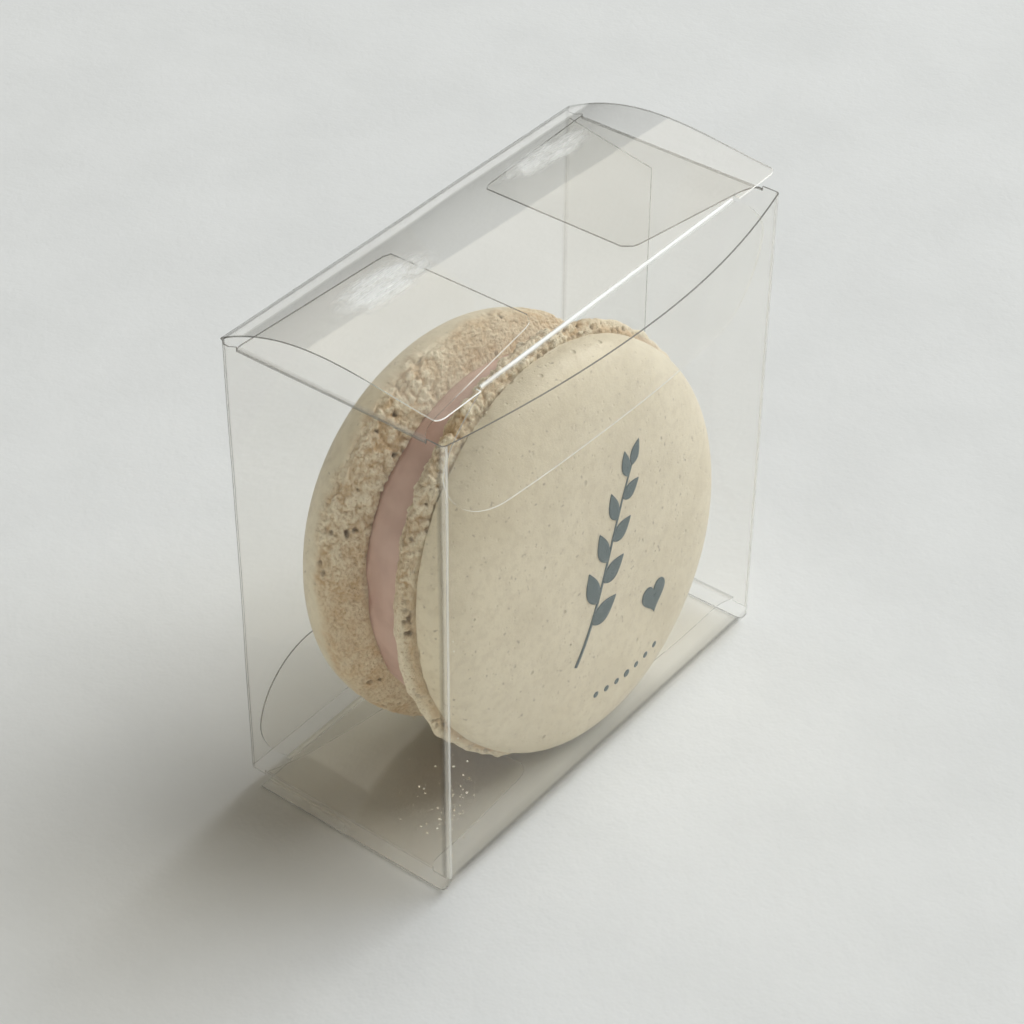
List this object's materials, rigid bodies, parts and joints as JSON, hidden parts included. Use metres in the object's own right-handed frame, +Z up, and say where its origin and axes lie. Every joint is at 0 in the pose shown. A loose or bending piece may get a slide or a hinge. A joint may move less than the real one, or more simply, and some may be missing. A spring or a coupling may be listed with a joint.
{
  "type": "macaron favour box",
  "caption": "Clear folded film box standing upright with an arched tuck-in lid, holding a cream macaron on edge with a printed sprig on its shell.",
  "frame": {"origin": "under the middle of the whole box, on the surface it stands on", "axes": "+Z up, -Y out of the front panel that the tuck flap pushes out, +X to the right seen from the front"},
  "size_m": [0.05, 0.028, 0.0566],
  "materials": {
    "clear_film": "clear glossy plastic film, slightly rippled",
    "cream_shell": "dry baked macaron shell, satin and finely pitted, with a crumbly toasted foot",
    "pink_filling": "smooth soft cream, dusty pink"
  },
  "bodies": {
    "box": {"sleeve": "clear_film", "shell_front": "cream_shell", "shell_back": "cream_shell", "filling": "pink_filling"},
    "lid": {"lid_panel": "clear_film"},
    "tuck": {"tuck_flap": "clear_film"}
  },
  "joints": [
    {"name": "lid_crease", "type": "hinge", "parent": "box", "child": "lid", "pos_m": [0, 0.01385, 0.0531], "axis": [-1, 0, 0], "range_deg": [0, 105]},
    {"name": "tuck_crease", "type": "hinge", "parent": "lid", "child": "tuck", "pos_m": [0, -0.00965, 0.05537], "axis": [-1, 0, 0], "range_deg": [-52.5, 0]}
  ],
  "couplings": [
    {"joint": "tuck_crease", "follows": "lid_crease", "ratio": -0.5}
  ]
}
